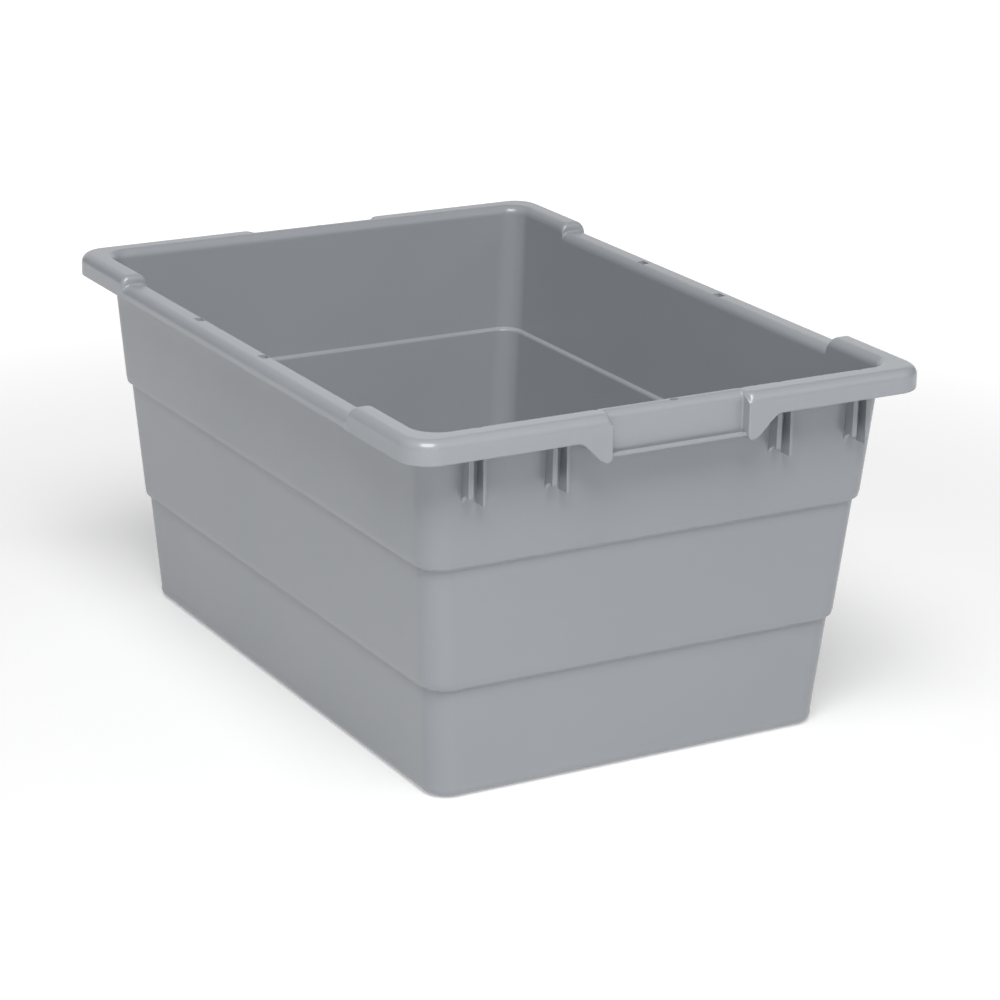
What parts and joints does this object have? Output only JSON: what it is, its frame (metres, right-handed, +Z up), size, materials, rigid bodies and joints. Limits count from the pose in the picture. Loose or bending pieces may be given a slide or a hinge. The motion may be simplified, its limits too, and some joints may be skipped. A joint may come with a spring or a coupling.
{
  "type": "open nesting and cross-stacking tub",
  "caption": "Open rectangular plastic tub with stepped, sloping walls that nest, raised rim corners that hold a tub set crosswise on top, and recessed hand grips in both ends.",
  "frame": {"origin": "centre of the footprint, on the floor the tub stands on", "axes": "+X along the tub's length, towards the end whose outside the picture shows, +Y across the width, +Z up"},
  "size_m": [0.603, 0.44, 0.297],
  "materials": {
    "moulding": "satin"
  },
  "bodies": {
    "root": {"base_panel": "moulding", "lower_end_wall_a": "moulding", "lower_end_wall_b": "moulding", "lower_side_wall_a": "moulding", "lower_side_wall_b": "moulding", "middle_end_wall_a": "moulding", "middle_end_wall_b": "moulding", "middle_side_wall_a": "moulding", "middle_side_wall_b": "moulding", "upper_end_wall_a": "moulding", "upper_end_wall_b": "moulding", "upper_side_wall_a": "moulding", "upper_side_wall_b": "moulding", "wall_corner_a_left": "moulding", "wall_corner_a_right": "moulding", "wall_corner_b_left": "moulding", "wall_corner_b_right": "moulding", "end_rim_a": "moulding", "end_rim_b": "moulding", "side_rim_a": "moulding", "side_rim_b": "moulding", "rim_corner_a_left": "moulding", "rim_corner_a_right": "moulding", "rim_corner_b_left": "moulding", "rim_corner_b_right": "moulding", "grip_hood_a_left": "moulding", "grip_hood_a_right": "moulding", "grip_hood_b_left": "moulding", "grip_hood_b_right": "moulding", "grip_panel_a": "moulding", "grip_panel_b": "moulding", "grip_lip_a": "moulding", "grip_lip_b": "moulding", "rib_pair_a_1": "moulding", "rib_pair_a_2": "moulding", "rib_pair_a_3": "moulding", "rib_pair_a_4": "moulding", "rib_pair_b_1": "moulding", "rib_pair_b_2": "moulding", "rib_pair_b_3": "moulding", "rib_pair_b_4": "moulding"}
  },
  "joints": []
}
